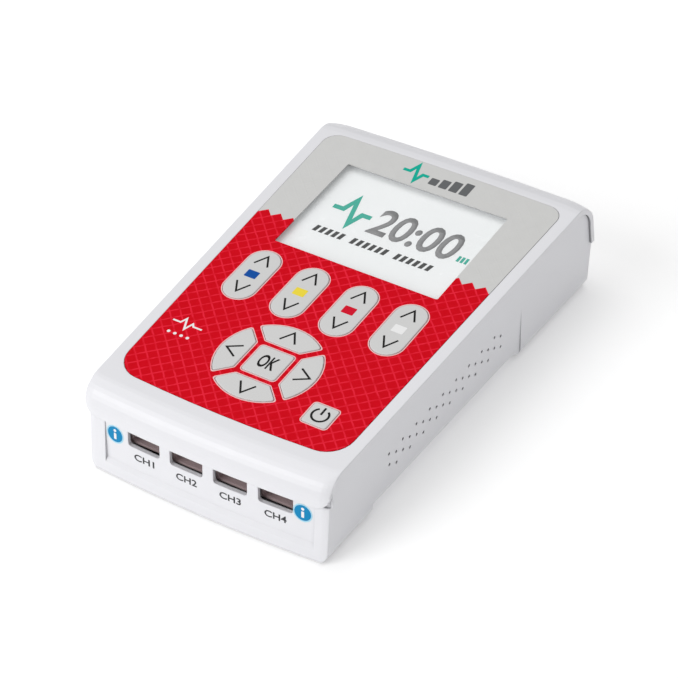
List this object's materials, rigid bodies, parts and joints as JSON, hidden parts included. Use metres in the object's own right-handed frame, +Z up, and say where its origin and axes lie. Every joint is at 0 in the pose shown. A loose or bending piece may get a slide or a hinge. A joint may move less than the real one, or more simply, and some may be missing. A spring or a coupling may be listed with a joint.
{
  "type": "tens unit",
  "caption": "Hand-held electrotherapy unit: wedge-shaped two-shell case, tilted front panel with display, rocker keys, a ring of arrow keys, and a row of lead sockets under a front lip.",
  "frame": {"origin": "under the middle of the unit, on the surface that it rests on", "axes": "+Z up, +Y towards the display end, +X to the right as the panel is read"},
  "size_m": [0.0844, 0.1367, 0.0311],
  "materials": {
    "white_shell": "white satin moulding",
    "overlay_print": "printed polycarbonate film",
    "key_grey": "light grey satin",
    "clear_lens": "clear",
    "screen_glass": "pale display",
    "light_guide": "milky",
    "board_green": "solder mask",
    "film_clear": "clear film",
    "flex_amber": "amber film",
    "black_plastic": "matt",
    "socket_brown": "dark moulding",
    "plated_metal": "plated",
    "winding_brown": "taped winding",
    "cell_jacket": "printed jacket"
  },
  "bodies": {
    "housing": {"top_cover": "white_shell", "bottom_case": "white_shell", "face_overlay": "overlay_print", "display_window": "clear_lens", "lcd_panel": "screen_glass", "lcd_backlight": "light_guide", "main_board": "board_green", "keypad_board": "board_green", "output_board": "board_green", "dome_sheet": "film_clear", "display_ribbon": "flex_amber", "processor_chip": "black_plastic", "buzzer": "black_plastic", "charger_jack": "black_plastic", "storage_capacitor_1": "black_plastic", "storage_capacitor_2": "black_plastic", "step_up_transformer_1": "winding_brown", "step_up_transformer_2": "winding_brown", "output_socket_1": "socket_brown", "output_socket_2": "socket_brown", "output_socket_3": "socket_brown", "output_socket_4": "socket_brown", "output_pin_1a": "plated_metal", "output_pin_1b": "plated_metal", "output_pin_2a": "plated_metal", "output_pin_2b": "plated_metal", "output_pin_3a": "plated_metal", "output_pin_3b": "plated_metal", "output_pin_4a": "plated_metal", "output_pin_4b": "plated_metal", "charger_pin": "plated_metal", "battery_contact_1": "plated_metal", "battery_contact_2": "plated_metal", "battery_contact_3": "plated_metal", "battery_contact_4": "plated_metal", "battery_contact_5": "plated_metal", "case_screw_1": "plated_metal", "case_screw_2": "plated_metal", "case_screw_3": "plated_metal", "case_screw_4": "plated_metal", "battery_cell_1": "cell_jacket", "battery_cell_2": "cell_jacket", "battery_cell_3": "cell_jacket", "battery_cell_4": "cell_jacket"},
    "battery_door": {"battery_door": "white_shell"},
    "key_up": {"key_up": "key_grey"},
    "key_right": {"key_right": "key_grey"},
    "key_down": {"key_down": "key_grey"},
    "key_left": {"key_left": "key_grey"},
    "key_ok": {"key_ok": "key_grey"},
    "key_power": {"key_power": "key_grey"},
    "rocker_key_1": {"rocker_key_1": "key_grey"},
    "rocker_key_2": {"rocker_key_2": "key_grey"},
    "rocker_key_3": {"rocker_key_3": "key_grey"},
    "rocker_key_4": {"rocker_key_4": "key_grey"}
  },
  "joints": [
    {"name": "key_up_press", "type": "slide", "parent": "housing", "child": "key_up", "axis": [0, 0.0358, -0.9994], "range_m": [0, 0.0004], "stiffness_N_per_m": 1500},
    {"name": "key_right_press", "type": "slide", "parent": "housing", "child": "key_right", "axis": [0, 0.0358, -0.9994], "range_m": [0, 0.0004], "stiffness_N_per_m": 1500},
    {"name": "key_down_press", "type": "slide", "parent": "housing", "child": "key_down", "axis": [0, 0.0358, -0.9994], "range_m": [0, 0.0004], "stiffness_N_per_m": 1500},
    {"name": "key_left_press", "type": "slide", "parent": "housing", "child": "key_left", "axis": [0, 0.0358, -0.9994], "range_m": [0, 0.0004], "stiffness_N_per_m": 1500},
    {"name": "key_ok_press", "type": "slide", "parent": "housing", "child": "key_ok", "axis": [0, 0.0358, -0.9994], "range_m": [0, 0.0004], "stiffness_N_per_m": 1500},
    {"name": "key_power_press", "type": "slide", "parent": "housing", "child": "key_power", "axis": [0, 0.0358, -0.9994], "range_m": [0, 0.0004], "stiffness_N_per_m": 1500},
    {"name": "rocker_key_1_rock", "type": "hinge", "parent": "housing", "child": "rocker_key_1", "pos_m": [-0.02316, -0.00742, 0.02676], "axis": [1, 0, 0], "range_deg": [-2, 2], "stiffness_Nm_per_rad": 0.12},
    {"name": "rocker_key_2_rock", "type": "hinge", "parent": "housing", "child": "rocker_key_2", "pos_m": [-0.00772, -0.00742, 0.02676], "axis": [1, 0, 0], "range_deg": [-2, 2], "stiffness_Nm_per_rad": 0.12},
    {"name": "rocker_key_3_rock", "type": "hinge", "parent": "housing", "child": "rocker_key_3", "pos_m": [0.00772, -0.00742, 0.02676], "axis": [1, 0, 0], "range_deg": [-2, 2], "stiffness_Nm_per_rad": 0.12},
    {"name": "rocker_key_4_rock", "type": "hinge", "parent": "housing", "child": "rocker_key_4", "pos_m": [0.02316, -0.00742, 0.02676], "axis": [1, 0, 0], "range_deg": [-2, 2], "stiffness_Nm_per_rad": 0.12},
    {"name": "battery_door_lift", "type": "slide", "parent": "housing", "child": "battery_door", "axis": [0, 0, -1], "range_m": [0, 0.012]}
  ]
}
